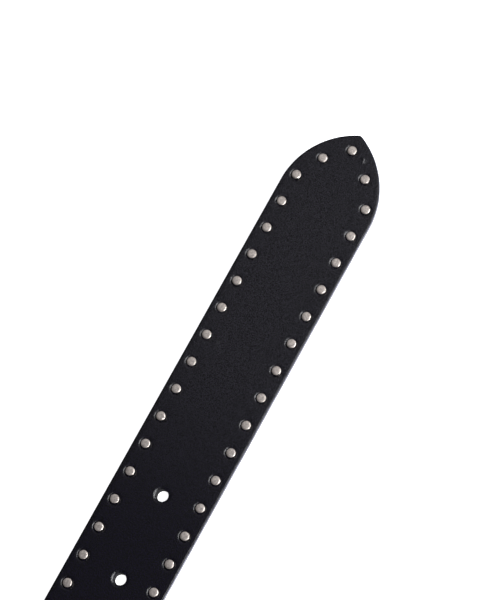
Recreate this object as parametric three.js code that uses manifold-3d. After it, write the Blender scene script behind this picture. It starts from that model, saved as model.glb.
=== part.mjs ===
// A studded leather belt, lying flat and straight with its studs up.
// Millimetres, +Z up. X runs along the belt towards the pointed tip, and +Y is the belt's left side.
// The origin is at the middle of the ground that the belt covers, on the surface that it lies on.
import * as THREE from "three";
import { mergeVertices } from "three/addons/utils/BufferGeometryUtils.js";
import Module from "manifold-3d";

const wasm = await Module();
wasm.setup();

// Strap
const WAIST_LENGTH = 800; // from the fold at the buckle to the middle hole
const STRAP_WIDTH = 40.5;
const STRAP_THICKNESS = 3;
const EDGE_ROUND = 0.8; // radius of the rounded edges
const TIP_RUN = 31.4; // length of the pointed tip, from where its two arcs would cross to its shoulders
const TIP_BULGE = 5.5; // how far each arc stands out from its chord, so that it runs smoothly into the edge
const NOSE_RADIUS = 1.9; // rounding of the very point
const TIP_LEAN = 0.6; // the hand-cut point leans this much to the left

// Buckle holes
const HOLE_COUNT = 5;
const HOLE_DIAMETER = 4.8;
const HOLE_SPACING = 36;
const FIRST_HOLE = 164.3; // from the crossing of the tip's arcs
const SECOND_HOLE_OFF = 1.5; // the second hole lies this far to the right of the middle
const HOLE_DENT_RADIUS = 3.2; // where the pressed rim of a hole begins
const HOLE_DENT_DEPTH = 0.45;

// Studs
const STUD_PITCH = 12.3;
const STUD_INSET = 4.85; // from the strap's edge to the middle of a stud
const SINGLE_STUDS_PER_ROW = 16; // studs of each row, from the tip, that are pieces of their own
const TIP_STUD_SETBACK = 7.6; // from the crossing of the tip's arcs
const ROW_SETBACK = 26.6; // from there to the first studs of the two rows
const STUD_LINE_BULGE = 2.2; // how far the studs' line over the tip stands out from its chord
const HEAD_DIAMETER = 3.7;
const HEAD_TOP_DIAMETER = 2.9; // the flat on top of a head, inside its sloping rim
const HEAD_HEIGHT = 0.9;
const POST_DIAMETER = 1.8;
const STUD_BACK_DIAMETER = 3.2;
const STUD_BACK_HEIGHT = 1;
const STUD_BACK_SET_IN = 0.25; // the studs' backs end this far above the surface the belt lies on
const STUD_DENT_RADIUS = 2.7;
const STUD_DENT_DEPTH = 0.45;

// Fold at the buckle
const FOLD_THICKNESS = 2; // the folded end is pared down to this
const FOLD_TAB = 46; // length of the folded end, from the bar
const BAR_DIAMETER = 4;
const LOOP_RISE_RUN = 20; // the upper layer comes down from the bar over this length
const STEP_RUN = 16; // and from the folded end down to the ground over this length
const LAST_STUD_FROM_BAR = 23; // the rows of studs end no nearer to the bar than this
const SLOT_WIDTH = 6; // slot for the prong
const SLOT_REACH = 9; // how far the slot runs from the bar

// Buckle
const BUCKLE_WINDOW = 30; // from the middle of the bar to the far bar's inner face
const BUCKLE_FAR_BAR = 6;
const BUCKLE_RAIL = 6;
const BUCKLE_HEEL = 4; // how far the rails run past the bar
const BUCKLE_THICKNESS = 4;
const BUCKLE_CORNER = 7; // radius of the outer corners
const BUCKLE_SIDE_GAP = 1.2; // from the strap's edge to the rail
const BUCKLE_ROUND = 0.9;
const PRONG_WIDTH = 4;
const PRONG_THICKNESS = 3;
const PRONG_OVERHANG = 1.5; // how far the prong runs past the far bar
const PRONG_SINK = 0.8; // how deep it rests in the far bar's notch
const PRONG_EYE_WALL = 1.6;
const PRONG_ROUND = 0.6;

// Keeper
const KEEPER_WIDTH = 12;
const KEEPER_THICKNESS = 2;
const KEEPER_SIDE_GAP = 0.6;
const KEEPER_HEAD_ROOM = 5.4; // over the strap, for the tip end with its studs
const KEEPER_CORNER = 2.6;
const KEEPER_ROUND = 0.4;

// Shared gap between pieces that touch, and how far a cutter runs past what it cuts
const SEAT_GAP = 0.3;
const CUT_PAST = 1;

// Facets
const EDGE_STEPS = 2;
const PLAIN_EDGE_STEPS = 1; // on the keeper and the buckle
const NOSE_STEPS = 3;
const TIP_STEPS = 8;
const FLAT_STEPS = 4;
const RISE_STEPS = 5;
const WRAP_STEPS = 8;
const STUD_SIDES = 10;
const STUD_HOLE_SIDES = 8;
const FIELD_STUD_SIDES = 6;
const HOLE_SIDES = 16;
const BAR_SIDES = 12;
const CORNER_STEPS = 3;
const SLOT_STEPS = 6;

// Sizes worked out from those above
const HALF_WIDTH = STRAP_WIDTH / 2;
const MIDDLE_HOLE = FIRST_HOLE + ((HOLE_COUNT - 1) / 2) * HOLE_SPACING;
const BAR_RADIUS = BAR_DIAMETER / 2;
const WRAP_RADIUS = BAR_RADIUS + SEAT_GAP + FOLD_THICKNESS / 2; // middle of the leather round the bar
const BAR_HEIGHT = WRAP_RADIUS + FOLD_THICKNESS / 2;
const LOOP_UNDERSIDE = BAR_HEIGHT + BAR_RADIUS + SEAT_GAP;
const TAB_UNDERSIDE = FOLD_THICKNESS + SEAT_GAP;
const KEEPER_START = FOLD_TAB + SEAT_GAP;
const PLATEAU_END = KEEPER_START + KEEPER_WIDTH;
const STRAP_REACH = WAIST_LENGTH + MIDDLE_HOLE; // from the bar to the crossing of the tip's arcs
const BUCKLE_REACH = BUCKLE_WINDOW + BUCKLE_FAR_BAR;

const leather = new THREE.MeshStandardMaterial({ color: 0x1d1c20, roughness: 0.55, metalness: 0 });
const nickel = new THREE.MeshStandardMaterial({ color: 0xc9c3bc, roughness: 0.35, metalness: 1 });

// A closed geometry as a solid that can be cut and joined
function solidFrom(geometry) {
  const bare = geometry.clone();
  bare.deleteAttribute("normal");
  bare.deleteAttribute("uv");
  const merged = mergeVertices(bare, 1e-4);
  const index = merged.index.array;
  const faces = [];
  for (let i = 0; i < index.length; i += 3) {
    addTriangle(faces, index[i], index[i + 1], index[i + 2]);
  }
  return new wasm.Manifold(
    new wasm.Mesh({
      numProp: 3,
      vertProperties: new Float32Array(merged.attributes.position.array),
      triVerts: new Uint32Array(faces),
    }),
  );
}

// A face whose corners have run together is left out
function addTriangle(faces, a, b, c) {
  if (a !== b && b !== c && c !== a) faces.push(a, b, c);
}

function geometryFrom(solid) {
  const mesh = solid.getMesh();
  const geometry = new THREE.BufferGeometry();
  geometry.setAttribute("position", new THREE.BufferAttribute(new Float32Array(mesh.vertProperties), 3));
  geometry.setIndex(new THREE.BufferAttribute(new Uint32Array(mesh.triVerts), 1));
  geometry.computeVertexNormals();
  return geometry;
}

function piece(name, geometry, material) {
  const mesh = new THREE.Mesh(geometry, material);
  mesh.name = name;
  return mesh;
}

// A lathed solid that stands along +Z, from rows of radius and height that run from the foot to the top
function turned(profile, sides) {
  const points = profile.map(([radius, height]) => new THREE.Vector2(radius, height));
  const geometry = new THREE.LatheGeometry(points, sides);
  geometry.rotateX(Math.PI / 2);
  return geometry;
}

// An outline drawn out to a depth about its own plane, with its arrises rounded inside its true size
function drawnOut(outline, depth, round, curveSteps) {
  const geometry = new THREE.ExtrudeGeometry(outline, {
    depth: depth - 2 * round,
    bevelThickness: round,
    bevelSize: round,
    bevelOffset: -round,
    bevelSegments: PLAIN_EDGE_STEPS,
    curveSegments: curveSteps,
  });
  geometry.translate(0, 0, round - depth / 2);
  return geometry;
}

// The circle through two points whose arc stands out from their chord by a bulge, on the side of +Y
function bulgedArc(start, end, bulge) {
  const chord = end.clone().sub(start);
  const half = chord.length() / 2;
  const radius = (half * half + bulge * bulge) / (2 * bulge);
  const outward = new THREE.Vector2(-chord.y, chord.x).normalize();
  const crown = start.clone().add(end).multiplyScalar(0.5).addScaledVector(outward, bulge);
  const centre = crown.clone().addScaledVector(outward, -radius);
  return { centre, radius, crown };
}

// The tip's outline is two arcs that would cross on the middle line, and a rounded nose where they do
const tipArc = bulgedArc(new THREE.Vector2(0, 0), new THREE.Vector2(TIP_RUN, HALF_WIDTH), TIP_BULGE);
const noseMiddle = tipArc.centre.x - Math.sqrt((tipArc.radius - NOSE_RADIUS) ** 2 - tipArc.centre.y ** 2);
const noseAngle = Math.atan2(-tipArc.centre.y, tipArc.centre.x - noseMiddle);
const shoulderAngle = Math.atan2(HALF_WIDTH - tipArc.centre.y, tipArc.centre.x - TIP_RUN);

// Rows of the tip's outline: distance back from the crossing of its arcs, and half the width there.
// An inset shifts the whole outline inwards.
function tipOutline(inset) {
  const rows = [];
  for (let i = 0; i < NOSE_STEPS; i++) {
    const angle = (noseAngle * i) / NOSE_STEPS;
    const radius = NOSE_RADIUS - inset;
    rows.push({ back: noseMiddle - radius * Math.cos(angle), half: radius * Math.sin(angle) });
  }
  for (let i = 0; i <= TIP_STEPS; i++) {
    const angle = noseAngle + ((shoulderAngle - noseAngle) * i) / TIP_STEPS;
    const radius = tipArc.radius - inset;
    rows.push({
      back: tipArc.centre.x - radius * Math.cos(angle),
      half: tipArc.centre.y + radius * Math.sin(angle),
    });
  }
  return rows;
}

// The lean of the tip fades out over its length
function lean(back) {
  return TIP_LEAN * Math.max(0, 1 - back / TIP_RUN);
}

function smooth(share) {
  const s = Math.min(1, Math.max(0, share));
  return s * s * (3 - 2 * s);
}

// The upper layer of leather at a distance from the bar: it comes down from the bar onto the folded end and
// the keeper, and beyond them onto the ground, and it reaches its full thickness as it leaves the bar
function upperLayer(x) {
  const off = smooth(x / LOOP_RISE_RUN);
  const step = smooth((x - PLATEAU_END) / STEP_RUN);
  const underside = LOOP_UNDERSIDE + (TAB_UNDERSIDE - LOOP_UNDERSIDE) * off - TAB_UNDERSIDE * step;
  const thickness = FOLD_THICKNESS + (STRAP_THICKNESS - FOLD_THICKNESS) * off;
  return { thickness, middle: underside + thickness / 2 };
}

function slopeAt(x) {
  const reach = 0.1;
  return Math.atan2(upperLayer(x + reach).middle - upperLayer(x - reach).middle, 2 * reach);
}

// Stations along the strap behind the tip, in its side view: the middle of the leather, the way that its
// grain side looks, and its thickness
function strapStations() {
  const stations = [];
  const flatEnd = PLATEAU_END + STEP_RUN;
  const flatStart = STRAP_REACH - TIP_RUN;
  const alongUpper = (from, to, steps) => {
    for (let i = 1; i <= steps; i++) {
      const x = from + ((to - from) * i) / steps;
      const slope = slopeAt(x);
      const up = new THREE.Vector2(-Math.sin(slope), Math.cos(slope));
      stations.push({ x, z: upperLayer(x).middle, up, thickness: upperLayer(x).thickness });
    }
  };
  alongUpper(flatStart, flatEnd, FLAT_STEPS);
  alongUpper(flatEnd, PLATEAU_END, RISE_STEPS);
  alongUpper(PLATEAU_END, LOOP_RISE_RUN, 1);
  alongUpper(LOOP_RISE_RUN, 0, RISE_STEPS);
  for (let i = 1; i <= WRAP_STEPS; i++) {
    const angle = Math.PI / 2 + (Math.PI * i) / WRAP_STEPS;
    const up = new THREE.Vector2(Math.cos(angle), Math.sin(angle));
    const middle = up.clone().multiplyScalar(WRAP_RADIUS);
    stations.push({ x: middle.x, z: BAR_HEIGHT + middle.y, up, thickness: FOLD_THICKNESS });
  }
  const tabUp = new THREE.Vector2(0, -1);
  stations.push({ x: FOLD_TAB, z: FOLD_THICKNESS / 2, up: tabUp, thickness: FOLD_THICKNESS });
  return stations;
}

// Layers of the strap's rounded edge from the grain face to the flesh face: the inset from the outline, and
// the place through the thickness, from 1 at the grain face to -1
function edgeLayers() {
  const layers = [];
  for (const side of [1, -1]) {
    for (let i = 0; i <= EDGE_STEPS; i++) {
      const angle = (Math.PI / 2) * ((side > 0 ? i : EDGE_STEPS - i) / EDGE_STEPS);
      const inset = EDGE_ROUND * (1 - Math.sin(angle));
      const drop = EDGE_ROUND * (1 - Math.cos(angle));
      layers.push({ inset, level: side * (1 - (2 * drop) / STRAP_THICKNESS) });
    }
  }
  return layers;
}

// The strap without its holes. Each layer of its edge is one outline of the whole strap, with a point on the
// left and one on the right at every station, and neighbouring layers are joined all the way round.
function plainStrap() {
  const positions = [];
  const add = (x, y, z) => positions.push(x, y, z) / 3 - 1;
  const behind = strapStations();
  const rings = edgeLayers().map(({ inset, level }) => {
    const left = [];
    const right = [];
    tipOutline(inset).forEach(({ back, half }, i) => {
      const x = STRAP_REACH - back;
      const z = (STRAP_THICKNESS / 2) * (1 + level);
      left.push(add(x, lean(back) + half, z));
      right.push(i === 0 ? left[0] : add(x, lean(back) - half, z));
    });
    behind.forEach(({ x, z, up, thickness }, i) => {
      const offset = (level * thickness) / 2;
      const end = i === behind.length - 1 ? inset : 0;
      const half = HALF_WIDTH - inset;
      left.push(add(x + up.x * offset - end, half, z + up.y * offset));
      right.push(add(x + up.x * offset - end, -half, z + up.y * offset));
    });
    return { left, right };
  });
  const faces = [];
  const quad = (a, b, c, d) => {
    addTriangle(faces, a, b, c);
    addTriangle(faces, a, c, d);
  };
  const last = rings[0].left.length - 1;
  for (let k = 0; k + 1 < rings.length; k++) {
    const [upper, lower] = [rings[k], rings[k + 1]];
    for (let j = 0; j < last; j++) {
      quad(upper.left[j + 1], upper.left[j], lower.left[j], lower.left[j + 1]);
      quad(upper.right[j], upper.right[j + 1], lower.right[j + 1], lower.right[j]);
    }
    quad(upper.left[last], lower.left[last], lower.right[last], upper.right[last]);
  }
  const grain = rings[0];
  const flesh = rings[rings.length - 1];
  for (let j = 0; j < last; j++) {
    quad(grain.left[j], grain.left[j + 1], grain.right[j + 1], grain.right[j]);
    quad(flesh.left[j + 1], flesh.left[j], flesh.right[j], flesh.right[j + 1]);
  }
  const geometry = new THREE.BufferGeometry();
  geometry.setAttribute("position", new THREE.Float32BufferAttribute(positions, 3));
  geometry.setIndex(faces);
  return solidFrom(geometry);
}

// Places of the studs: a row down each edge, and one line over the tip that joins the rows. The studs
// nearest to the tip have names and are pieces of their own.
function studPlaces() {
  const rowSide = HALF_WIDTH - STUD_INSET;
  const rowStart = STRAP_REACH - ROW_SETBACK;
  const line = bulgedArc(
    new THREE.Vector2(TIP_STUD_SETBACK, 0),
    new THREE.Vector2(ROW_SETBACK, rowSide),
    STUD_LINE_BULGE,
  );
  const places = [{ name: "stud_tip", x: STRAP_REACH - TIP_STUD_SETBACK, y: lean(0) }];
  for (const [side, sign] of [["left", 1], ["right", -1]]) {
    const { x: back, y: half } = line.crown;
    places.push({ name: "stud_arc_" + side, x: STRAP_REACH - back, y: sign * half });
    for (let i = 0; rowStart - i * STUD_PITCH >= LAST_STUD_FROM_BAR; i++) {
      const name = i < SINGLE_STUDS_PER_ROW ? "stud_" + side + "_" + String(i + 1).padStart(2, "0") : "";
      places.push({ name, x: rowStart - i * STUD_PITCH, y: sign * rowSide });
    }
  }
  return places;
}

// One stud: a flat head with a sloping rim, a post, and a back that flares where it is clinched
function studGeometry() {
  const profile = [
    [0, STUD_BACK_SET_IN],
    [STUD_BACK_DIAMETER / 2, STUD_BACK_SET_IN],
    [POST_DIAMETER / 2, STUD_BACK_SET_IN + STUD_BACK_HEIGHT],
    [POST_DIAMETER / 2, STRAP_THICKNESS],
    [HEAD_DIAMETER / 2, STRAP_THICKNESS],
    [HEAD_TOP_DIAMETER / 2, STRAP_THICKNESS + HEAD_HEIGHT],
    [0, STRAP_THICKNESS + HEAD_HEIGHT],
  ];
  return geometryFrom(solidFrom(turned(profile, STUD_SIDES)));
}

// What a stud takes out of the strap: the flare for its back, its bore and its dent
function studCutter() {
  const acrossFlats = Math.cos(Math.PI / STUD_HOLE_SIDES);
  const bore = (POST_DIAMETER / 2 + SEAT_GAP) / acrossFlats;
  const flareTop = STUD_BACK_SET_IN + STUD_BACK_HEIGHT + SEAT_GAP;
  const flareSlope = (STUD_BACK_DIAMETER - POST_DIAMETER) / 2 / STUD_BACK_HEIGHT;
  const profile = [
    [0, -CUT_PAST],
    [bore + flareSlope * (flareTop + CUT_PAST), -CUT_PAST],
    [bore, flareTop],
    [bore, STRAP_THICKNESS - STUD_DENT_DEPTH],
    [STUD_DENT_RADIUS, STRAP_THICKNESS],
    [STUD_DENT_RADIUS, STRAP_THICKNESS + CUT_PAST],
    [0, STRAP_THICKNESS + CUT_PAST],
  ];
  return solidFrom(turned(profile, STUD_HOLE_SIDES));
}

// What a buckle hole takes out of the strap: its bore and the pressed-in rim round it
function holeCutter() {
  const profile = [
    [0, -CUT_PAST],
    [HOLE_DIAMETER / 2, -CUT_PAST],
    [HOLE_DIAMETER / 2, STRAP_THICKNESS - HOLE_DENT_DEPTH],
    [HOLE_DENT_RADIUS, STRAP_THICKNESS],
    [HOLE_DENT_RADIUS, STRAP_THICKNESS + CUT_PAST],
    [0, STRAP_THICKNESS + CUT_PAST],
  ];
  return solidFrom(turned(profile, HOLE_SIDES));
}

// The prong's slot, with a round end, right through both layers of the fold
function slotCutter() {
  const half = SLOT_WIDTH / 2;
  const open = -WRAP_RADIUS - FOLD_THICKNESS;
  const outline = new THREE.Shape();
  outline.moveTo(open, -half);
  outline.lineTo(SLOT_REACH - half, -half);
  outline.absarc(SLOT_REACH - half, 0, half, -Math.PI / 2, Math.PI / 2, false);
  outline.lineTo(open, half);
  outline.closePath();
  const depth = LOOP_UNDERSIDE + STRAP_THICKNESS + 2 * CUT_PAST;
  const options = { depth, bevelEnabled: false, curveSegments: SLOT_STEPS };
  const geometry = new THREE.ExtrudeGeometry(outline, options);
  geometry.translate(0, 0, -CUT_PAST);
  return solidFrom(geometry);
}

// A stud of the long stretch away from the tip is one with the leather. Where the end is folded back, its
// post runs on into the lower layer and holds the fold.
function fieldStud({ x, y }) {
  const { thickness, middle } = upperLayer(x);
  const face = thickness / 2;
  const root = face - SEAT_GAP;
  const profile = [
    [HEAD_DIAMETER / 2, root],
    [HEAD_TOP_DIAMETER / 2, face + HEAD_HEIGHT],
    [0, face + HEAD_HEIGHT],
  ];
  if (x < FOLD_TAB - HEAD_DIAMETER) {
    const foot = FOLD_THICKNESS / 2 - middle;
    profile.unshift([0, foot], [POST_DIAMETER / 2, foot], [POST_DIAMETER / 2, root]);
  } else {
    profile.unshift([0, root]);
  }
  const geometry = turned(profile, FIELD_STUD_SIDES);
  geometry.rotateY(-slopeAt(x));
  geometry.translate(x, y, middle);
  return solidFrom(geometry);
}

function strapGeometry(places) {
  const cutStud = studCutter();
  const cutHole = holeCutter();
  const cutters = places.filter(({ name }) => name).map(({ x, y }) => cutStud.translate([x, y, 0]));
  for (let i = 0; i < HOLE_COUNT; i++) {
    const off = i === 1 ? -SECOND_HOLE_OFF : 0;
    cutters.push(cutHole.translate([STRAP_REACH - FIRST_HOLE - i * HOLE_SPACING, off, 0]));
  }
  cutters.push(slotCutter());
  const cut = plainStrap().subtract(wasm.Manifold.union(cutters));
  const field = places.filter(({ name }) => !name).map(fieldStud);
  return geometryFrom(wasm.Manifold.union([cut, ...field]));
}

// The frame in plan: a far bar and two rails, whose heels run past the round bar
function frameOutline() {
  const inner = HALF_WIDTH + BUCKLE_SIDE_GAP;
  const outer = inner + BUCKLE_RAIL;
  const inside = BUCKLE_CORNER / 2;
  const cornerX = BUCKLE_CORNER - BUCKLE_REACH;
  const outline = new THREE.Shape();
  outline.moveTo(BUCKLE_HEEL, outer);
  outline.lineTo(cornerX, outer);
  outline.absarc(cornerX, outer - BUCKLE_CORNER, BUCKLE_CORNER, Math.PI / 2, Math.PI, false);
  outline.absarc(cornerX, BUCKLE_CORNER - outer, BUCKLE_CORNER, Math.PI, 1.5 * Math.PI, false);
  outline.lineTo(BUCKLE_HEEL, -outer);
  outline.lineTo(BUCKLE_HEEL, -inner);
  outline.absarc(inside - BUCKLE_WINDOW, inside - inner, inside, -Math.PI / 2, -Math.PI, true);
  outline.absarc(inside - BUCKLE_WINDOW, inner - inside, inside, Math.PI, Math.PI / 2, true);
  outline.lineTo(BUCKLE_HEEL, inner);
  outline.closePath();
  return outline;
}

// The prong in side view, from the bar to past the far bar, where it rests in a notch
function prongOutline() {
  const rest = BUCKLE_THICKNESS / 2 - PRONG_SINK;
  const top = rest + PRONG_THICKNESS;
  const half = PRONG_THICKNESS / 2;
  const end = BUCKLE_REACH + PRONG_OVERHANG;
  const outline = new THREE.Shape();
  outline.moveTo(0, half);
  outline.quadraticCurveTo(-BUCKLE_WINDOW / 2, top, -BUCKLE_WINDOW, top);
  outline.quadraticCurveTo(-end, top, -end, rest);
  outline.lineTo(-BUCKLE_WINDOW, rest);
  outline.quadraticCurveTo(-BUCKLE_WINDOW / 2, rest, 0, -half);
  outline.closePath();
  return outline;
}

// Frame, bar and prong are one plain piece, about the middle of the bar
function buckleGeometry() {
  const frame = solidFrom(drawnOut(frameOutline(), BUCKLE_THICKNESS, BUCKLE_ROUND, CORNER_STEPS));
  const barLength = STRAP_WIDTH + 2 * BUCKLE_SIDE_GAP + BUCKLE_RAIL;
  const bar = solidFrom(new THREE.CylinderGeometry(BAR_RADIUS, BAR_RADIUS, barLength, BAR_SIDES));
  const eyeRadius = BAR_RADIUS + PRONG_EYE_WALL;
  const eye = solidFrom(new THREE.CylinderGeometry(eyeRadius, eyeRadius, PRONG_WIDTH, BAR_SIDES));
  const side = drawnOut(prongOutline(), PRONG_WIDTH, PRONG_ROUND, CORNER_STEPS);
  side.rotateX(Math.PI / 2);
  return geometryFrom(wasm.Manifold.union([frame, bar, eye, solidFrom(side)]));
}

// The keeper, a plain band round the strap, just past the folded end
function keeperGeometry() {
  const half = HALF_WIDTH + KEEPER_SIDE_GAP;
  const ceiling = TAB_UNDERSIDE + STRAP_THICKNESS + KEEPER_HEAD_ROOM;
  const outline = new THREE.Shape();
  roundedBox(outline, half + KEEPER_THICKNESS, 0, ceiling + KEEPER_THICKNESS, KEEPER_CORNER);
  const hollow = new THREE.Path();
  roundedBox(hollow, half, KEEPER_THICKNESS, ceiling, KEEPER_CORNER / 2);
  outline.holes.push(hollow);
  const geometry = drawnOut(outline, KEEPER_WIDTH, KEEPER_ROUND, CORNER_STEPS);
  geometry.rotateX(Math.PI / 2);
  geometry.rotateZ(Math.PI / 2);
  return geometryFrom(solidFrom(geometry));
}

// A box outline with round corners, from minus to plus a half width, between a floor and a ceiling
function roundedBox(path, half, floor, ceiling, corner) {
  path.moveTo(half, floor + corner);
  path.absarc(half - corner, ceiling - corner, corner, 0, Math.PI / 2, false);
  path.absarc(corner - half, ceiling - corner, corner, Math.PI / 2, Math.PI, false);
  path.absarc(corner - half, floor + corner, corner, Math.PI, 1.5 * Math.PI, false);
  path.absarc(half - corner, floor + corner, corner, 1.5 * Math.PI, 2 * Math.PI, false);
  path.closePath();
}

const belt = new THREE.Group();
const places = studPlaces();
belt.add(piece("strap", strapGeometry(places), leather));

const stud = studGeometry();
for (const { name, x, y } of places) {
  if (!name) continue;
  const mesh = piece(name, stud, nickel);
  mesh.position.set(x, y, 0);
  belt.add(mesh);
}

// The buckle tips about its bar until its far bar rests on the ground
const buckle = piece("buckle", buckleGeometry(), nickel);
buckle.position.z = BAR_HEIGHT;
buckle.rotation.y = -Math.asin((BAR_HEIGHT - BUCKLE_THICKNESS / 2) / BUCKLE_REACH);
belt.add(buckle);

const keeper = piece("keeper", keeperGeometry(), leather);
keeper.position.x = KEEPER_START + KEEPER_WIDTH / 2;
belt.add(keeper);

// Everything above is measured from the bar. The belt is moved so that its origin is at its middle.
const cover = new THREE.Box3().setFromObject(belt, true);
belt.position.x = -(cover.min.x + cover.max.x) / 2;

const part = new THREE.Group();
part.add(belt);
export default part;
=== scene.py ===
"""A studded leather belt that lies flat on a pale floor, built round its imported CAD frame."""

import math
import random

import bpy
from mathutils import Matrix, Vector, geometry

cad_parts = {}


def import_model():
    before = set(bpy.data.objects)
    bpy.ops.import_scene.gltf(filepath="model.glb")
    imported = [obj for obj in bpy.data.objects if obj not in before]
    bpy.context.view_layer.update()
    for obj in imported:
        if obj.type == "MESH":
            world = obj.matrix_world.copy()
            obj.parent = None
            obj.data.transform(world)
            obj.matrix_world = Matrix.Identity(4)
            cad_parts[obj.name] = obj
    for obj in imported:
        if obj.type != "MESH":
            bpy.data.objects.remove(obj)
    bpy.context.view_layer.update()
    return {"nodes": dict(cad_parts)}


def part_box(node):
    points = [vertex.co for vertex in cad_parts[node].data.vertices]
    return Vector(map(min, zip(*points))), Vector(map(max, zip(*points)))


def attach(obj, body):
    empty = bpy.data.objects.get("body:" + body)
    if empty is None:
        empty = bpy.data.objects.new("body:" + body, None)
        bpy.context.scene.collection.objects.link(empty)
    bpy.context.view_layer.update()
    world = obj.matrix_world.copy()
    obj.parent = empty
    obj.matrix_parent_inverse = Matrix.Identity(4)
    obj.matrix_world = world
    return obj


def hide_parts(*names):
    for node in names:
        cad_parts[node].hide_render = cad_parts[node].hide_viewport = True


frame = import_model()

# Sizes are in millimetres and meshes are made in metres
MM = 0.001

# Strap. Its edge is rounded in rows from the grain face to the middle: how far in from the edge, and how
# far down. The rows of faces on each side of the middle that show grey raw leather are counted; on the
# right side one row more is grey, reaching up to the arris as a painted highlight.
EDGE_PROFILE = [(0.92, 0.0), (0.85, 0.01), (0.78, 0.035), (0.6, 0.12), (0.5, 0.175)]
EDGE_PROFILE += [(0.36, 0.27), (0.21, 0.45), (0.09, 0.72), (0.02, 1.0), (0.0, 1.25)]
RAW_EDGE_ROWS_LEFT = 3
RAW_EDGE_ROWS_RIGHT_WITH_PAINTED_ARRIS = 4
TIP_RUN = 31.4
TIP_BULGE = 5.5
NOSE_RADIUS = 1.9
TIP_LEAN = 0.6
THICKNESS = 3.0
FOLD_THICKNESS = 2.0
FOLD_TAB = 46.0
BAR_RADIUS = 2.0
SEAT_GAP = 0.3
LOOP_RISE_RUN = 20.0
STEP_RUN = 16.0
SLOT_WIDTH = 6.0
SLOT_REACH = 9.0

# Buckle holes, with the dent round each
HOLE_COUNT = 5
HOLE_RADIUS = 2.4
HOLE_SPACING = 36.0
FIRST_HOLE = 164.3
SECOND_HOLE_OFF = 1.5
HOLE_DENT_RADIUS = 3.7
HOLE_DENT_DEPTH = 0.32
HOLE_RINGS = (4.0, HOLE_DENT_RADIUS, 3.5, 3.3, 3.1, 2.9, 2.7, 2.55)
HOLE_SIDES = 40
HOLE_SLANT = 0.6  # the foot of a hole lies this far to the right of its top

# Studs
STUD_PITCH = 12.3
ROW_SETBACK = 26.6
SINGLE_STUDS_PER_ROW = 16
LAST_STUD_FROM_BAR = 23.0
HEAD_RADIUS = 1.8
HEAD_HEIGHT = 0.8
FLAT_RADIUS = 1.57
BEVEL_RADIUS = 1.68
BEVEL_DROP = 0.06
RIM_ROUND = 0.18
HEAD_TUCK = 0.05  # the underside of a head is this much smaller than its rim
HEAD_LIFT = 0.1  # from the bottom of the dent to the underside of the head in it
FIELD_STUD_SINK = 0.2  # the studs that have no post reach this far below the bottom of their dents
STUD_SIDES = 40
FIELD_STUD_SIDES = 24
POST_RADIUS = 0.9
STUD_BACK_RADIUS = 1.6
STUD_BACK_HEIGHT = 1.0
STUD_BACK_SET_IN = 0.25
STUD_DENT_RADIUS = 3.25
STUD_DENT_FLOOR_RADIUS = 1.95
STUD_DENT_DEPTH = 0.36
STUD_DENT_EASE = 2.2
STUD_DENT_RINGS = (STUD_DENT_RADIUS, 3.05, 2.85, 2.7, 2.55, 2.4, 2.25, 2.1, STUD_DENT_FLOOR_RADIUS, 1.7)
STUD_DENT_SIDES = 32
FIELD_DENT_SIDES = 18

# Marks raised from the leather: distance along, distance to the left, length, turn in degrees and height
SCRATCH = (9.2, -5.15, 2.9, -13.0, 0.07)
CREASE = (101.3, 10.7, 3.1, 8.0, 0.06)
MARK_WIDTH = 0.4
MARK_SIDES = 12
MARK_CREST = (0.8, 0.25)  # shares of a mark's length and width that stand at its full height

# Faint wrinkles over one patch: its middle along, its middle to the left, its length and its width
WRINKLE_PATCH = (45.0, 2.0, 24.0, 18.0)
WRINKLE_COUNT = 26
WRINKLE_LENGTHS = (1.2, 2.6)
WRINKLE_TURNS = (-25, 12)
WRINKLE_HEIGHTS = (0.01, 0.028)
WRINKLE_ROOM = 2.2  # between the middles of any two marks

# Buckle
BUCKLE_WINDOW = 30.0
BUCKLE_FAR_BAR = 6.0
BUCKLE_RAIL = 6.0
BUCKLE_HEEL = 4.0
BUCKLE_THICKNESS = 4.0
BUCKLE_CORNER = 7.0
BUCKLE_SIDE_GAP = 1.2
PRONG_WIDTH = 4.0
PRONG_THICKNESS = 3.0
PRONG_OVERHANG = 1.5
PRONG_SINK = 0.8
PRONG_EYE_WALL = 1.6
PRONG_EYE_ROLL = 0.5
PRONG_TAPER = 0.3
PRONG_DIP = 0.9  # how far its very end drops

# Shares of the prong's length: where its rise ends, where its dip and its round end begin
PRONG_RISE_END = 0.75
PRONG_DIP_START = 0.88
PRONG_ROUND_START = 0.93
PRONG_ROUND_RUN = 0.075

# Keeper
KEEPER_WIDTH = 12.0
KEEPER_THICKNESS = 2.0
KEEPER_SIDE_GAP = 0.6
KEEPER_EDGE_ROUND = 0.5
KEEPER_CORNER = 1.7
KEEPER_CREASE = ((0.9, 0.0), (1.3, 0.05), (1.5, 0.22), (1.7, 0.05), (2.1, 0.0))  # from the edge, and down

# Spacing of the strap's points, and how far its plain points keep from what is shaped
TIP_STEP = 0.5
STATION_STEP = 2.5
FOLD_STATION_STEP = 1.0
LAST_STATION_ROOM = 0.6
GRAIN_SPACING = 2.5
GRAIN_CLEAR = 3.6
FLESH_SPACING = 4.0
FLESH_CLEAR = 3.0
FOLD_SPACING = 0.8
HOLE_CLEAR = 0.8  # more than round a stud
MARK_CLEAR = 0.2
BORDER_CLEAR = 0.8
NOSE_CLEAR = 4
SLOT_CLEAR = 0.5


def mm_box(node):
    """Lowest and highest corner of a CAD node, in millimetres."""
    low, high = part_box(node)
    return low / MM, high / MM


def middle_of(node):
    low, high = mm_box(node)
    return (low + high) / 2


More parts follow.
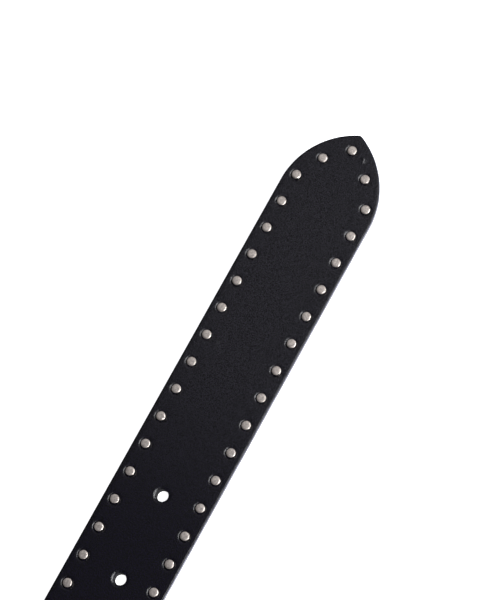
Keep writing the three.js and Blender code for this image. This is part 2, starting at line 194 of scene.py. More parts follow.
strap_low, strap_high = mm_box("strap")
HALF_WIDTH = (strap_high.y - strap_low.y) / 2
WRAP_RADIUS = BAR_RADIUS + SEAT_GAP + FOLD_THICKNESS / 2
BAR_HEIGHT = WRAP_RADIUS + FOLD_THICKNESS / 2
BAR_X = strap_low.x + BAR_HEIGHT
ROW_SIDE = middle_of("stud_left_01").y
ROW_START = middle_of("stud_left_01").x
ARC_CROSSING_X = ROW_START + ROW_SETBACK
STRAP_REACH = ARC_CROSSING_X - BAR_X
LOOP_UNDERSIDE = BAR_HEIGHT + BAR_RADIUS + SEAT_GAP
TAB_UNDERSIDE = FOLD_THICKNESS + SEAT_GAP
keeper_low, keeper_high = mm_box("keeper")
PLATEAU_END = keeper_high.x - BAR_X
WRAP_LENGTH = math.pi * WRAP_RADIUS
STRAP_LENGTH = STRAP_REACH + WRAP_LENGTH + FOLD_TAB


def smooth(share):
    s = min(1.0, max(0.0, share))
    return s * s * (3 - 2 * s)


def mesh_object(name, points, faces, material, sharp_angle=40.0):
    """A smooth-shaded object from points in millimetres."""
    mesh = bpy.data.meshes.new(name)
    mesh.from_pydata([Vector(p) * MM for p in points], [], faces)
    mesh.validate()
    mesh.shade_smooth()
    mesh.set_sharp_from_angle(angle=math.radians(sharp_angle))
    mesh.materials.append(material)
    obj = bpy.data.objects.new(name, mesh)
    bpy.context.scene.collection.objects.link(obj)
    return obj


# Materials

def new_material(name):
    material = bpy.data.materials.new(name)
    material.use_nodes = True
    nodes = material.node_tree.nodes
    return material, nodes, material.node_tree.links, nodes["Principled BSDF"]


def noise(nodes, links, place, scale, detail):
    """A noise over an object's own place."""
    node = nodes.new("ShaderNodeTexNoise")
    node.inputs["Scale"].default_value = scale
    node.inputs["Detail"].default_value = detail
    links.new(place, node.inputs["Vector"])
    return node.outputs["Fac"]


def ramp(nodes, links, value, low, high):
    """A colour that runs between two stops, each a position and a colour."""
    node = nodes.new("ShaderNodeValToRGB")
    for stop, (position, colour) in zip(node.color_ramp.elements, (low, high)):
        stop.position = position
        stop.color = colour
    links.new(value, node.inputs["Fac"])
    return node.outputs["Color"]


def add_bump(nodes, links, height, strength, distance, shader):
    node = nodes.new("ShaderNodeBump")
    node.inputs["Strength"].default_value = strength
    node.inputs["Distance"].default_value = distance
    links.new(height, node.inputs["Height"])
    links.new(node.outputs["Normal"], shader.inputs["Normal"])


def leather_material(name):
    """Blue-black leather with a fine pebbled grain, and a painted sheen that makes it a little lighter
    toward the tip.
    """
    material, nodes, links, shader = new_material(name)
    place = nodes.new("ShaderNodeTexCoord")
    grain = nodes.new("ShaderNodeTexVoronoi")
    grain.inputs["Scale"].default_value = 1500
    links.new(place.outputs["Object"], grain.inputs["Vector"])
    pores = noise(nodes, links, place.outputs["Object"], 2700, 1)
    relief = nodes.new("ShaderNodeMath")
    relief.operation = "MULTIPLY_ADD"
    relief.inputs[1].default_value = 0.6
    links.new(pores, relief.inputs[0])
    links.new(grain.outputs["Distance"], relief.inputs[2])
    add_bump(nodes, links, relief.outputs["Value"], 0.13, 0.0003, shader)
    split = nodes.new("ShaderNodeSeparateXYZ")
    links.new(place.outputs["Object"], split.inputs["Vector"])
    # Painted sheen: the base colour runs from darker at the buckle's end to lighter toward the tip,
    # standing in for the overhead light's reflection fading along the belt.
    painted_sheen_toward_tip = nodes.new("ShaderNodeMapRange")
    painted_sheen_toward_tip.interpolation_type = "SMOOTHSTEP"
    painted_sheen_toward_tip.inputs["From Min"].default_value = (strap_high.x - 190) * MM
    painted_sheen_toward_tip.inputs["From Max"].default_value = (strap_high.x - 95) * MM
    links.new(split.outputs["X"], painted_sheen_toward_tip.inputs["Value"])
    body = nodes.new("ShaderNodeMix")
    body.data_type = "RGBA"
    body.inputs["A"].default_value = (0.0003, 0.0002, 0.0009, 1)
    body.inputs["B"].default_value = (0.0017, 0.0016, 0.0023, 1)
    links.new(painted_sheen_toward_tip.outputs["Result"], body.inputs["Factor"])
    speckle = ramp(nodes, links, pores, (0.52, (0.1, 0.1, 0.5, 1)), (0.6, (13.0, 13.0, 11.5, 1)))
    colour = nodes.new("ShaderNodeMix")
    colour.data_type = "RGBA"
    colour.blend_type = "MULTIPLY"
    colour.inputs["Factor"].default_value = 1
    links.new(body.outputs["Result"], colour.inputs["A"])
    links.new(speckle, colour.inputs["B"])
    links.new(colour.outputs["Result"], shader.inputs["Base Color"])
    roughness = nodes.new("ShaderNodeMapRange")
    roughness.inputs["From Min"].default_value = 0.3
    roughness.inputs["From Max"].default_value = 0.7
    roughness.inputs["To Min"].default_value = 0.3
    roughness.inputs["To Max"].default_value = 0.22
    links.new(pores, roughness.inputs["Value"])
    links.new(roughness.outputs["Result"], shader.inputs["Roughness"])
    shader.inputs["Specular IOR Level"].default_value = 0.25
    return material


def nickel_material(name, dark, light, roughness):
    """Pale warm metal, mottled between two tones."""
    material, nodes, links, shader = new_material(name)
    place = nodes.new("ShaderNodeTexCoord")
    mottle = noise(nodes, links, place.outputs["Object"], 1500, 3)
    colour = ramp(nodes, links, mottle, (0.3, dark), (0.7, light))
    links.new(colour, shader.inputs["Base Color"])
    shader.inputs["Metallic"].default_value = 1
    shader.inputs["Roughness"].default_value = roughness
    return material


def edge_material(name):
    """The cut edge of the leather: grey fibres in layers."""
    material, nodes, links, shader = new_material(name)
    place = nodes.new("ShaderNodeTexCoord")
    stretch = nodes.new("ShaderNodeMapping")
    stretch.inputs["Scale"].default_value = (70, 400, 2600)
    links.new(place.outputs["Object"], stretch.inputs["Vector"])
    fibres = noise(nodes, links, stretch.outputs["Vector"], 1.0, 4)
    colour = ramp(nodes, links, fibres, (0.35, (0.12, 0.12, 0.14, 1)), (0.65, (0.25, 0.25, 0.29, 1)))
    links.new(colour, shader.inputs["Base Color"])
    add_bump(nodes, links, fibres, 0.25, 0.0002, shader)
    shader.inputs["Roughness"].default_value = 0.6
    return material


leather = leather_material("belt_leather")
raw_edge = edge_material("belt_raw_edge")
nickel = nickel_material("belt_nickel", (0.48, 0.43, 0.39, 1), (0.84, 0.76, 0.7, 1), 0.3)
even_nickel = nickel_material("belt_smooth_nickel", (0.56, 0.51, 0.47, 1), (0.68, 0.62, 0.575, 1), 0.24)


# Strap: a point of it is given by its distance along the belt from the crossing of the tip's arcs, its
# distance to the left, and its level through the thickness, from 1 at the grain face to -1

def upper_layer(x):
    """Thickness and middle height of the upper layer at a distance from the bar."""
    off = smooth(x / LOOP_RISE_RUN)
    step = smooth((x - PLATEAU_END) / STEP_RUN)
    underside = LOOP_UNDERSIDE + (TAB_UNDERSIDE - LOOP_UNDERSIDE) * off - TAB_UNDERSIDE * step
    thickness = FOLD_THICKNESS + (THICKNESS - FOLD_THICKNESS) * off
    return thickness, underside + thickness / 2


def path(along):
    """Middle of the leather, the way its grain looks and its thickness, in side view."""
    x = STRAP_REACH - along
    if x >= 0:
        thickness, middle = upper_layer(x)
        reach = 0.1
        slope = math.atan((upper_layer(x + reach)[1] - upper_layer(x - reach)[1]) / (2 * reach))
        return (BAR_X + x, middle), (-math.sin(slope), math.cos(slope)), thickness
    turn = (along - STRAP_REACH) / WRAP_RADIUS
    if turn < math.pi:
        up = (-math.sin(turn), math.cos(turn))
        middle = (BAR_X + WRAP_RADIUS * up[0], BAR_HEIGHT + WRAP_RADIUS * up[1])
        return middle, up, FOLD_THICKNESS
    x = along - STRAP_REACH - WRAP_LENGTH
    return (BAR_X + x, FOLD_THICKNESS / 2), (0, -1), FOLD_THICKNESS


def strap_point(along, left, level, sink=0.0):
    """A point of the strap, a sink below its level."""
    middle, up, thickness = path(along)
    offset = level * thickness / 2 - sink
    return (middle[0] + up[0] * offset, left, middle[1] + up[1] * offset)


def bulged_arc(start, end, bulge):
    """Centre and radius of the arc from start to end that stands out to the left by a bulge."""
    chord = Vector(end) - Vector(start)
    half = chord.length / 2
    radius = (half * half + bulge * bulge) / (2 * bulge)
    outward = Vector((-chord.y, chord.x)).normalized()
    return (Vector(start) + Vector(end)) / 2 + outward * (bulge - radius), radius


def tip_outline(inset, step):
    """Left half of the tip's outline, drawn in by an inset, from its point to its shoulder."""
    centre, radius = bulged_arc((0, 0), (TIP_RUN, HALF_WIDTH), TIP_BULGE)
    nose_x = centre.x - math.sqrt((radius - NOSE_RADIUS) ** 2 - centre.y ** 2)
    nose_angle = math.atan2(-centre.y, centre.x - nose_x)
    shoulder_angle = math.atan2(HALF_WIDTH - centre.y, centre.x - TIP_RUN)
    rows = []
    nose_steps = round(NOSE_RADIUS * nose_angle / step)
    for i in range(nose_steps):
        angle = nose_angle * i / nose_steps
        reach = NOSE_RADIUS - inset
        rows.append((nose_x - reach * math.cos(angle), reach * math.sin(angle)))
    arc_steps = round(radius * (shoulder_angle - nose_angle) / step)
    for i in range(arc_steps + 1):
        angle = nose_angle + (shoulder_angle - nose_angle) * i / arc_steps
        reach = radius - inset
        rows.append((centre.x - reach * math.cos(angle), centre.y + reach * math.sin(angle)))
    return rows


def lean(along):
    return TIP_LEAN * max(0.0, 1 - along / TIP_RUN)


def outline(inset):
    """The whole outline, drawn in by an inset, from the point down the left side and back up the right."""
    tip = tip_outline(inset, TIP_STEP)
    left = [(along, lean(along) + half) for along, half in tip]
    right = [(along, lean(along) - half) for along, half in tip[1:]]
    side = HALF_WIDTH - inset
    stations = []
    along = TIP_RUN
    while along < STRAP_LENGTH:
        near_fold = along > STRAP_REACH - PLATEAU_END - STEP_RUN
        along += FOLD_STATION_STEP if near_fold else STATION_STEP
        stations.append(min(along, STRAP_LENGTH))
    if STRAP_LENGTH - stations[-2] < LAST_STATION_ROOM:
        stations.pop(-2)
    stations[-1] = STRAP_LENGTH - inset
    left += [(s, side) for s in stations]
    right += [(s, -side) for s in stations]
    end_count = 16
    end = [(STRAP_LENGTH - inset, side * (1 - 2 * i / end_count)) for i in range(1, end_count)]
    return left + end + right[::-1]


def ring(along, left, radius, count):
    """A circle of points about a place."""
    turn = 2 * math.pi / count
    return [(along + radius * math.cos(turn * i), left + radius * math.sin(turn * i)) for i in range(count)]


def stud_places():
    """Distance along and to the left of every stud, and the name of each that is a piece of its own."""
    places = []
    for node in frame["nodes"]:
        if node.startswith("stud_"):
            middle = middle_of(node)
            places.append((ARC_CROSSING_X - middle.x, middle.y, node))
    for side in (1, -1):
        i = SINGLE_STUDS_PER_ROW
        while ROW_START - i * STUD_PITCH - BAR_X >= LAST_STUD_FROM_BAR:
            places.append((ROW_SETBACK + i * STUD_PITCH, side * ROW_SIDE, ""))
            i += 1
    return places


def hole_places():
    """Distance along and to the left of every buckle hole."""
    places = [(FIRST_HOLE + i * HOLE_SPACING, 0.0) for i in range(HOLE_COUNT)]
    places[1] = (places[1][0], -SECOND_HOLE_OFF)
    return places


def slot_outline():
    """The prong's slot, as one long hole across the fold."""
    half = SLOT_WIDTH / 2
    start = STRAP_REACH - SLOT_REACH + half
    end = STRAP_REACH + WRAP_LENGTH + SLOT_REACH - half
    steps = 10
    points = []
    for i in range(steps + 1):
        turn = math.pi / 2 + math.pi * i / steps
        points.append((start + half * math.cos(turn), half * math.sin(turn)))
    sides = 22
    points += [(start + (end - start) * i / sides, -half) for i in range(1, sides)]
    for i in range(steps + 1):
        turn = -math.pi / 2 + math.pi * i / steps
        points.append((end + half * math.cos(turn), half * math.sin(turn)))
    points += [(end + (start - end) * i / sides, half) for i in range(1, sides)]
    return points


def hole_dent(distance):
    """How far the leather is pressed in at a distance from a hole's middle."""
    return HOLE_DENT_DEPTH * (1 - smooth((distance - HOLE_RADIUS) / (HOLE_DENT_RADIUS - HOLE_RADIUS)))


def stud_dent(distance):
    """The dent round a stud: steep beside the head and easing out to the flat leather."""
    reach = (distance - STUD_DENT_FLOOR_RADIUS) / (STUD_DENT_RADIUS - STUD_DENT_FLOOR_RADIUS)
    share = min(1.0, max(0.0, reach))
    return STUD_DENT_DEPTH * (1 - share) ** STUD_DENT_EASE


def marks():
    """Every mark on the leather: the scratch, the crease, and faint wrinkles strewn over one patch."""
    draw = random.Random(11)
    found = [SCRATCH, CREASE]
    middle, off, patch_length, patch_width = WRINKLE_PATCH
    while len(found) < 2 + WRINKLE_COUNT:
        along = middle + patch_length * draw.uniform(-0.5, 0.5)
        left = off + patch_width * draw.uniform(-0.5, 0.5)
        if all(math.hypot(along - m[0], left - m[1]) > WRINKLE_ROOM for m in found):
            length = draw.uniform(*WRINKLE_LENGTHS)
            turn = draw.uniform(*WRINKLE_TURNS)
            height = draw.uniform(*WRINKLE_HEIGHTS)
            found.append((along, left, length, turn, height))
    return found


def mark_loop(mark, length_share, width):
    """A narrow oval about the middle of a mark, along a share of its length."""
    along, left, length, turn = mark[:4]
    c = math.cos(math.radians(turn))
    s = math.sin(math.radians(turn))
    points = []
    for x, y in ring(0, 0, 1, MARK_SIDES):
        run = x * length / 2 * length_share
        points.append((along + run * c - y * width / 2 * s, left + run * s + y * width / 2 * c))
    return points


class Sheet:
    """Points of one face of the strap, with loops that its triangles keep to."""

    def __init__(self, border):
        self.points = []
        self.edges = []
        self.sinks = []
        self.border = self.add_loop(border, 0.0)

    def add_loop(self, points, sink):
        """Adds a closed line of points that all lie one sink deep, and returns their numbers."""
        start = len(self.points)
        self.points += points
        self.sinks += [sink] * len(points)
        numbers = list(range(start, start + len(points)))
        self.edges += list(zip(numbers, numbers[1:] + numbers[:1]))
        return numbers

    def add_points(self, points, sink):
        self.points += points
        self.sinks += [sink] * len(points)

    def triangles(self, holes):
        """Triangles between the loops, none inside the holes."""
        result = geometry.delaunay_2d_cdt([Vector(p) for p in self.points], self.edges, [], 0, 1e-5)
        assert len(result[0]) == len(self.points)
        owner = {}
        for h, numbers in enumerate(holes):
            for n in numbers:
                owner[n] = h
        origin = [ids[0] for ids in result[3]]
        kept = []
        for face in result[2]:
            corners = [origin[v] for v in face]
            homes = {owner.get(c) for c in corners}
            if len(homes) > 1 or None in homes:
                kept.append(corners)
        return kept


def background(studs, holes, spacing, clear, strewn):
    """A wide grid of points over the plain leather, clear of the studs, holes and marks."""
    near = [(s[0], s[1], clear) for s in studs]
    near += [(h[0], h[1], clear + HOLE_CLEAR) for h in holes]
    near += [(m[0], m[1], m[2] / 2 + MARK_CLEAR) for m in strewn]
    points = []
    along = 3.0
    while along < STRAP_LENGTH - 2:
        close = [n for n in near if abs(n[0] - along) < clear + HOLE_CLEAR]
        in_fold = STRAP_REACH - LOOP_RISE_RUN < along < STRAP_REACH + WRAP_LENGTH + 2
        across = round(2 * HALF_WIDTH / spacing)
        for i in range(1, across):
            left = -HALF_WIDTH + 2 * HALF_WIDTH * i / across
            if any(math.hypot(along - n[0], left - n[1]) < n[2] for n in close):
                continue
            if inside_tip(along, left) and not in_slot(along, left):
                points.append((along, left))
        along += FOLD_SPACING if in_fold else spacing
    return points


def inside_tip(along, left):
    if along > TIP_RUN:
        return True
    centre, radius = bulged_arc((0, 0), (TIP_RUN, HALF_WIDTH), TIP_BULGE)
    off = Vector((along, abs(left - lean(along)))) - centre
    return off.length < radius - EDGE_PROFILE[0][0] - BORDER_CLEAR and along > NOSE_CLEAR


def in_slot(along, left):
    start = STRAP_REACH - SLOT_REACH
    end = STRAP_REACH + WRAP_LENGTH + SLOT_REACH
    beside = SLOT_WIDTH / 2 + SLOT_CLEAR
    return start - SLOT_CLEAR < along < end + SLOT_CLEAR and abs(left) < beside


def strap_sheets(studs, holes):
    """The grain face and the flesh face, and the two loops of every opening between them."""
    face_border = outline(EDGE_PROFILE[0][0])
    grain = Sheet(face_border)
    flesh = Sheet(face_border)
    openings = []
    for along, left, name in studs:
        count = STUD_DENT_SIDES if name else FIELD_DENT_SIDES
        for radius in STUD_DENT_RINGS:
            grain.add_loop(ring(along, left, radius, count), stud_dent(radius))
        if name:
            bore = POST_RADIUS + SEAT_GAP
            top = grain.add_loop(ring(along, left, bore, count), STUD_DENT_DEPTH)
            bottom = flesh.add_loop(ring(along, left, STUD_BACK_RADIUS + SEAT_GAP, count), 0.0)
            openings.append((top, bottom))
        else:
            grain.add_points([(along, left)], STUD_DENT_DEPTH)
    for along, left in holes:
        for radius in HOLE_RINGS:
            grain.add_loop(ring(along, left, radius, HOLE_SIDES), hole_dent(radius))
        top = grain.add_loop(ring(along, left, HOLE_RADIUS, HOLE_SIDES), HOLE_DENT_DEPTH)
        bottom = flesh.add_loop(ring(along, left - HOLE_SLANT, HOLE_RADIUS, HOLE_SIDES), 0.0)
        openings.append((top, bottom))
    strewn = marks()
    crest_length, crest_width = MARK_CREST
    for mark in strewn:
        grain.add_loop(mark_loop(mark, 1.0, MARK_WIDTH), 0.0)
        grain.add_loop(mark_loop(mark, crest_length, MARK_WIDTH * crest_width), -mark[4])
    slot = slot_outline()
    openings.append((grain.add_loop(slot, 0.0), flesh.add_loop(slot, 0.0)))
    grain.add_points(background(studs, holes, GRAIN_SPACING, GRAIN_CLEAR, strewn), 0.0)
    single = [s for s in studs if s[2]]
    flesh.add_points(background(single, holes, FLESH_SPACING, FLESH_CLEAR, []), 0.0)
    return grain, flesh, openings


def strap(studs):
    """The whole strap: both faces, the walls of its openings and its rounded edge."""
    grain, flesh, openings = strap_sheets(studs, hole_places())
    points = [strap_point(*place, 1, sink) for place, sink in zip(grain.points, grain.sinks)]
    faces = [f[::-1] for f in grain.triangles([o[0] for o in openings])]
    under = len(points)
    points += [strap_point(*place, -1) for place in flesh.points]
    faces += [[under + v for v in f] for f in flesh.triangles([o[1] for o in openings])]
    for top, bottom in openings:
        for i, corner in enumerate(top):
            j = (i + 1) % len(top)
            faces.append((corner, top[j], under + bottom[j], under + bottom[i]))

    rings = [grain.border]
    for side in (1, -1):
        for inset, drop in EDGE_PROFILE[1:] if side > 0 else EDGE_PROFILE[:0:-1]:
            level = side * (1 - 2 * drop / THICKNESS)
            rings.append(list(range(len(points), len(points) + len(grain.border))))
            points += [strap_point(*place, level) for place in outline(inset)]
    rings.append([under + n for n in flesh.border])
    raw_and_painted_arris_faces = []
    middle = len(EDGE_PROFILE) - 1
    for row, (upper, lower) in enumerate(zip(rings, rings[1:])):
        for i in range(len(upper)):
            j = (i + 1) % len(upper)
            # On the right side one more row takes the grey raw edge, up to the arris: a painted highlight.
            raw_and_painted_arris_rows = RAW_EDGE_ROWS_LEFT if points[upper[i]][1] > 0 else RAW_EDGE_ROWS_RIGHT_WITH_PAINTED_ARRIS
            if abs(row - middle) <= raw_and_painted_arris_rows:
                raw_and_painted_arris_faces.append(len(faces))
            faces.append((upper[j], upper[i], lower[i], lower[j]))
    obj = mesh_object("belt_strap", points, faces, leather)
    obj.data.materials.append(raw_edge)
    for face in raw_and_painted_arris_faces:
        obj.data.polygons[face].material_index = 1
    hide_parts("strap")
    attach(obj, "root")


def lathe(profile, sides, at, up=(0, 0, 1), start=0):
    """Points and faces of a turned piece: rows of radius and height from its foot to its top."""
    axis = Vector(up).to_track_quat("Z", "Y").to_matrix()
    points = []
    rows = []
    for radius, height in profile:
        if radius == 0:
            rows.append([start + len(points)] * sides)
            points.append(Vector(at) + axis @ Vector((0, 0, height)))
            continue
        rows.append([start + len(points) + i for i in range(sides)])
        for i in range(sides):
            turn = 2 * math.pi * i / sides
            spot = Vector((radius * math.cos(turn), radius * math.sin(turn), height))
            points.append(Vector(at) + axis @ spot)
    faces = []
    for lower, upper in zip(rows, rows[1:]):
        for i in range(sides):
            j = (i + 1) % sides
            corners = [lower[i], lower[j], upper[j], upper[i]]
            faces.append(list(dict.fromkeys(corners)))
    return points, faces


def head_profile():
    """Rim and top of a stud's head, from the leather up. Each arris is eased by a few hundredths."""
    rim = HEAD_RADIUS
    top = HEAD_HEIGHT
    edge = top - BEVEL_DROP
    rows = [(rim, 0.0), (rim, edge - RIM_ROUND)]
    rows += [(rim - 0.015, edge - RIM_ROUND / 2), (rim - 0.06, edge - 0.035)]
    rows += [(BEVEL_RADIUS, edge), (BEVEL_RADIUS - 0.04, edge + 0.022)]
    rows += [(FLAT_RADIUS + 0.03, top - 0.02), (FLAT_RADIUS - 0.02, top - 0.006)]
    rows += [(FLAT_RADIUS / 2, top), (0, top)]
    return rows


def single_stud(along, left, name):
    """A stud with its head, its post and its flared back."""
    back = STUD_BACK_SET_IN
    foot = THICKNESS - STUD_DENT_DEPTH + HEAD_LIFT
    profile = [(0, back), (STUD_BACK_RADIUS, back), (POST_RADIUS, back + STUD_BACK_HEIGHT)]
    profile += [(POST_RADIUS, foot), (HEAD_RADIUS - HEAD_TUCK, foot)]
    profile += [(radius, THICKNESS + height) for radius, height in head_profile()]
    points, faces = lathe(profile, STUD_SIDES, (ARC_CROSSING_X - along, left, 0))
    obj = mesh_object("metal_" + name, points, faces, nickel)
    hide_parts(name)
    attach(obj, "root")


def field_studs(studs):
    """The studs of the stretch beyond the named ones, as one piece."""
    points = []
    faces = []
    for along, left, name in studs:
        if name:
            continue
        up = path(along)[1]
        at = strap_point(along, left, 1)
        foot = -STUD_DENT_DEPTH - FIELD_STUD_SINK
        profile = [(0, foot), (HEAD_RADIUS - HEAD_TUCK, foot)] + head_profile()
        new_points, new_faces = lathe(profile, FIELD_STUD_SIDES, at, (up[0], 0, up[1]), len(points))
        points += new_points
        faces += new_faces
    obj = mesh_object("metal_studs_beyond", points, faces, nickel)
    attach(obj, "root")


def swept(stations, section, closed=False):
    """A skin along stations: each has a place, a sideways and an upward direction, and a scale."""
    points = []
    count = len(section)
    for place, sideways, up, scale in stations:
        for across, high in section:
            points.append(Vector(place) + Vector(sideways) * across * scale + Vector(up) * high * scale)
    faces = []
    last = len(stations) if closed else len(stations) - 1
    for i in range(last):
        here = i * count
        ahead = (i + 1) % len(stations) * count
        for k in range(count):
            m = (k + 1) % count
            faces.append((here + k, here + m, ahead + m, ahead + k))
    if not closed:
        faces.append(tuple(range(count))[::-1])
        faces.append(tuple(range(len(points) - count, len(points))))
    return points, faces


def oval_section(width, height, squareness, count):
    """A rounded section, squarer than an ellipse."""
    section = []
    for i in range(count):
        turn = 2 * math.pi * i / count
        across = math.copysign(abs(math.cos(turn)) ** squareness, math.cos(turn)) * width / 2
        high = math.copysign(abs(math.sin(turn)) ** squareness, math.sin(turn)) * height / 2
        section.append((across, high))
    return section


def end_scales(steps):
    """Scales that round off the end of a swept bar."""
    return [math.sin(math.pi / 2 * (i + 0.5) / steps) for i in range(steps)]


def frame_stations():
    """The buckle's frame about the middle of its bar: down one rail, across the far bar and back up."""
    side = HALF_WIDTH + BUCKLE_SIDE_GAP + BUCKLE_RAIL / 2
    far = -BUCKLE_WINDOW - BUCKLE_FAR_BAR / 2
    corner = BUCKLE_CORNER - BUCKLE_RAIL / 3
    route = []
    rail = BUCKLE_HEEL - far - corner
    steps = 20
    corner_steps = 12
    for i in range(steps + 1):
        route.append(((BUCKLE_HEEL - rail * i / steps, side), (0, 1)))
    for i in range(1, corner_steps + 1):
        turn = math.pi / 2 * i / corner_steps
        place = (far + corner - corner * math.sin(turn), side - corner + corner * math.cos(turn))
        route.append((place, (-math.sin(turn), math.cos(turn))))
    span = side - corner
    for i in range(1, steps + 1):
        route.append(((far, span - span * i / steps), (-1, 0)))
    route += [((x, -y), (out_x, -out_y)) for (x, y), (out_x, out_y) in route[-2::-1]]
    stations = [((x, y, 0), (out_x, out_y, 0), (0, 0, 1), 1.0) for (x, y), (out_x, out_y) in route]
    round_length = 1.2
    for i, scale in enumerate(end_scales(5)):
        reach = round_length * (1 - math.cos(math.asin(scale)))
        stations[i] = ((BUCKLE_HEEL - reach, side, 0), (0, 1, 0), (0, 0, 1), scale)
        stations[-1 - i] = ((BUCKLE_HEEL - reach, -side, 0), (0, -1, 0), (0, 0, 1), scale)
    return stations


def prong_stations():
    """The prong from the bar to past the far bar, bowed, narrowing and resting in the far bar's notch."""
    rest = BUCKLE_THICKNESS / 2 - PRONG_SINK + PRONG_THICKNESS / 2
    reach = BUCKLE_WINDOW + BUCKLE_FAR_BAR + PRONG_OVERHANG
    steps = 36
    stations = []
    for i in range(steps + 1):
        share = i / steps
        dip = smooth((share - PRONG_DIP_START) / (1 - PRONG_DIP_START))
        height = rest * smooth(share / PRONG_RISE_END) - PRONG_DIP * dip
        rounding = smooth((share - PRONG_ROUND_START) / PRONG_ROUND_RUN)
        scale = (1 - PRONG_TAPER * share) * math.sqrt(max(0.02, 1 - rounding**2))
        stations.append(((-reach * share, 0, height), (0, 1, 0), (0, 0, 1), scale))
    return stations


def bar_pieces():
    """The bar across the frame and the prong's eye round it, with a rolled edge on each side."""
    half = HALF_WIDTH + BUCKLE_SIDE_GAP + BUCKLE_RAIL / 2
    bar = [(0, -half), (BAR_RADIUS, -half), (BAR_RADIUS, half), (0, half)]
    eye_radius = BAR_RADIUS + PRONG_EYE_WALL
    half_eye = PRONG_WIDTH / 2
    roll = PRONG_EYE_ROLL
    eye = [(0, -half_eye), (eye_radius - roll, -half_eye)]
    for i in range(1, 6):
        turn = math.pi / 2 * i / 5
        eye.append((eye_radius - roll + roll * math.sin(turn), -half_eye + roll - roll * math.cos(turn)))
    eye += [(radius, -height) for radius, height in eye[::-1]]
    return bar, eye


def tipped(point):
    """A point of the buckle, turned about the bar until the far bar lies on the ground."""
    lift = math.asin((BAR_HEIGHT - BUCKLE_THICKNESS / 2) / (BUCKLE_WINDOW + BUCKLE_FAR_BAR))
    c = math.cos(lift)
    s = math.sin(lift)
    x, y, z = point
    return (BAR_X + x * c - z * s, y, BAR_HEIGHT + x * s + z * c)


def buckle():
    """Frame, bar and prong as one piece."""
    parts = [swept(frame_stations(), oval_section(BUCKLE_RAIL, BUCKLE_THICKNESS, 0.62, 28))]
    parts.append(swept(prong_stations(), oval_section(PRONG_WIDTH, PRONG_THICKNESS, 0.7, 20)))
    for profile in bar_pieces():
        parts.append(lathe(profile, 32, (0, 0, 0), (0, 1, 0)))
    points = []
    faces = []
    for new_points, new_faces in parts:
        start = len(points)
        points += [tipped(p) for p in new_points]
        faces += [[start + v for v in face] for face in new_faces]
    obj = mesh_object("metal_buckle", points, faces, even_nickel)
    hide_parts("buckle")
    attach(obj, "root")


def keeper_section():
    """Across the keeper's band: rounded edges, and a creased line along each edge of its outer face."""
    half = KEEPER_WIDTH / 2
    thick = KEEPER_THICKNESS / 2
    section = []
    for i in range(9):
        turn = -math.pi / 2 + math.pi * i / 8
        across = half - KEEPER_EDGE_ROUND + KEEPER_EDGE_ROUND * math.cos(turn)
        section.append((across, thick * math.sin(turn)))
    section += [(half - inset, thick - drop) for inset, drop in KEEPER_CREASE]
    section += [(2.0, thick), (0.0, thick)]
    mirrored = [(-across, high) for across, high in section[-2::-1]]
    return section + mirrored


def keeper():
    """The leather band round the strap, closed into a rounded box."""
    half = HALF_WIDTH + KEEPER_SIDE_GAP + KEEPER_THICKNESS / 2
    low = KEEPER_THICKNESS / 2
    high = keeper_high.z - KEEPER_THICKNESS / 2
    corner = KEEPER_CORNER
    middle_x = (keeper_low.x + keeper_high.x) / 2
    route = []
    for side, level, start in ((1, high, 0.0), (-1, high, 0.5), (-1, low, 1.0), (1, low, 1.5)):
        centre_y = side * (half - corner)
        centre_z = level - corner if level == high else level + corner
        for i in range(9):
            turn = math.pi * (start + 0.5 * i / 8)
            out = (0, math.cos(turn), math.sin(turn))
            place = (middle_x, centre_y + corner * out[1], centre_z + corner * out[2])
            route.append((place, out))
    stations = []
    for i, (place, out) in enumerate(route):
        ahead = route[(i + 1) % len(route)][0]
        stations.append((place, (1, 0, 0), out, 1.0))
        span = (Vector(ahead) - Vector(place)).length
        if span > 3:
            pieces = round(span / 2)
            for k in range(1, pieces):
                spot = Vector(place).lerp(Vector(ahead), k / pieces)
                stations.append((tuple(spot), (1, 0, 0), out, 1.0))
    points, faces = swept(stations, keeper_section(), closed=True)
    obj = mesh_object("belt_keeper", points, faces, leather)
    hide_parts("keeper")
    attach(obj, "root")


studs = stud_places()
strap(studs)
for along, left, name in studs:
    if name:
        single_stud(along, left, name)
field_studs(studs)
buckle()
keeper()


# Floor, light and camera

# Sines of the heights between which the surroundings are pale
HORIZON_FOOT = -0.05
HORIZON_TOP = 0.09


def floor():
    """A pale, matt floor, far wider than the belt."""
    material, _, _, shader = new_material("floor")
    shader.inputs["Base Color"].default_value = (0.9, 0.9, 0.9, 1)
    shader.inputs["Roughness"].default_value = 0.9
    shader.inputs["Specular IOR Level"].default_value = 0.1
    shader.inputs["Emission Color"].default_value = (1, 1, 1, 1)
    shader.inputs["Emission Strength"].default_value = 1.0
    size = 12000
    points = [(-size, -size, 0), (size, -size, 0), (size, size, 0), (-size, size, 0)]
    obj = mesh_object("floor", points, [(0, 1, 2, 3)], material)
    obj.visible_glossy = False


def area_light(name, target, direction, distance, size, power, colour, mirrored=True):
    """A rectangular light, seen from its target in a direction. Unless mirrored, no reflection shows it."""
    light = bpy.data.lights.new(name, "AREA")
    light.shape = "RECTANGLE"
    light.size = size[0]
    light.size_y = size[1]
    light.energy = power
    light.color = colour
    obj = bpy.data.objects.new(name, light)
    away = Vector(direction).normalized()
    obj.location = Vector(target) * MM + away * distance
    obj.rotation_euler = away.to_track_quat("Z", "Y").to_euler()
    obj.visible_glossy = mirrored
    bpy.context.scene.collection.objects.link(obj)


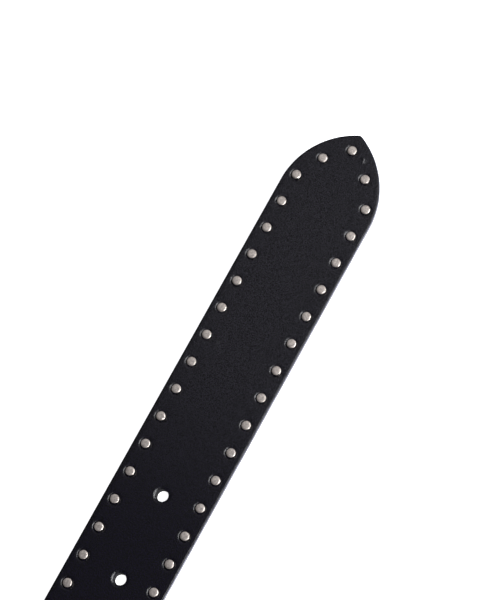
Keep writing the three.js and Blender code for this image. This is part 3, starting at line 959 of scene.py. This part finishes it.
def world():
    """Dim surroundings with a pale band along the horizon, darker on the belt's left side."""
    scene = bpy.context.scene
    surroundings = bpy.data.worlds.new("studio")
    surroundings.use_nodes = True
    nodes = surroundings.node_tree.nodes
    links = surroundings.node_tree.links
    shade = nodes["Background"]
    place = nodes.new("ShaderNodeTexCoord")
    split = nodes.new("ShaderNodeSeparateXYZ")
    links.new(place.outputs["Generated"], split.inputs["Vector"])
    height = nodes.new("ShaderNodeValToRGB")
    stops = height.color_ramp.elements
    stops[0].position = HORIZON_TOP
    stops[0].color = (1, 1, 1, 1)
    stops[1].position = 1.0
    stops[1].color = (0.2, 0.2, 0.215, 1)
    low = stops.new(HORIZON_TOP + 0.06)
    low.color = (0.1, 0.1, 0.1, 1)
    links.new(split.outputs["Z"], height.inputs["Fac"])
    side = nodes.new("ShaderNodeMapRange")
    side.inputs["From Min"].default_value = -0.5
    side.inputs["From Max"].default_value = 0.2
    side.inputs["To Min"].default_value = 0.4
    side.inputs["To Max"].default_value = 0.02
    links.new(split.outputs["Y"], side.inputs["Value"])
    above = nodes.new("ShaderNodeMath")
    above.operation = "GREATER_THAN"
    above.inputs[1].default_value = HORIZON_FOOT
    links.new(split.outputs["Z"], above.inputs[0])
    mix = nodes.new("ShaderNodeMix")
    mix.data_type = "RGBA"
    links.new(above.outputs["Value"], mix.inputs["Factor"])
    links.new(side.outputs["Result"], mix.inputs["A"])
    links.new(height.outputs["Color"], mix.inputs["B"])
    links.new(mix.outputs["Result"], shade.inputs["Color"])
    scene.world = surroundings
    scene.view_settings.view_transform = "Standard"


# The camera looks down at the strap a little from the buckle's end and from the belt's right side
AIM_FROM_TIP = 80.2
AIM_LEFT = 7.08
TILT_ALONG = 12.57
TILT_ACROSS = 8.0
ROLL = -29.2
DISTANCE = 1170.0
FOCAL_LENGTH = 180

# What the lights look at
TIP_SPOT = (strap_high.x, 0, 0)
SHOWN_SPOT = (440, 0, 0)


def camera():
    aim = Vector((strap_high.x - AIM_FROM_TIP, AIM_LEFT, THICKNESS + HEAD_HEIGHT))
    slope_along = math.tan(math.radians(TILT_ALONG))
    slope_across = math.tan(math.radians(TILT_ACROSS))
    back = Vector((-slope_along, -slope_across, 1)).normalized()
    ahead = -back
    level_up = (Vector((1, 0, 0)) - ahead * ahead.x).normalized()
    level_right = ahead.cross(level_up)
    roll = math.radians(ROLL)
    up = level_up * math.cos(roll) + level_right * math.sin(roll)
    right = ahead.cross(up)
    data = bpy.data.cameras.new("camera")
    data.lens = FOCAL_LENGTH
    data.clip_end = 100
    obj = bpy.data.objects.new("camera", data)
    turn = Matrix((right, up, back)).transposed().to_4x4()
    obj.matrix_world = Matrix.Translation((aim + back * DISTANCE) * MM) @ turn
    bpy.context.scene.collection.objects.link(obj)
    bpy.context.scene.camera = obj


floor()
world()
camera()
area_light("overhead", TIP_SPOT, (0.44, 0.14, 0.89), 1.5, (1.0, 1.0), 1.2, (1.0, 1.0, 1.0))
area_light("key", SHOWN_SPOT, (0.15, -0.515, 0.845), 1.3, (1.2, 0.3), 23.5, (0.97, 0.98, 1.0))
area_light("side", SHOWN_SPOT, (0.05, -0.92, 0.4), 1.3, (1.4, 0.6), 12, (0.82, 0.88, 1.0), False)
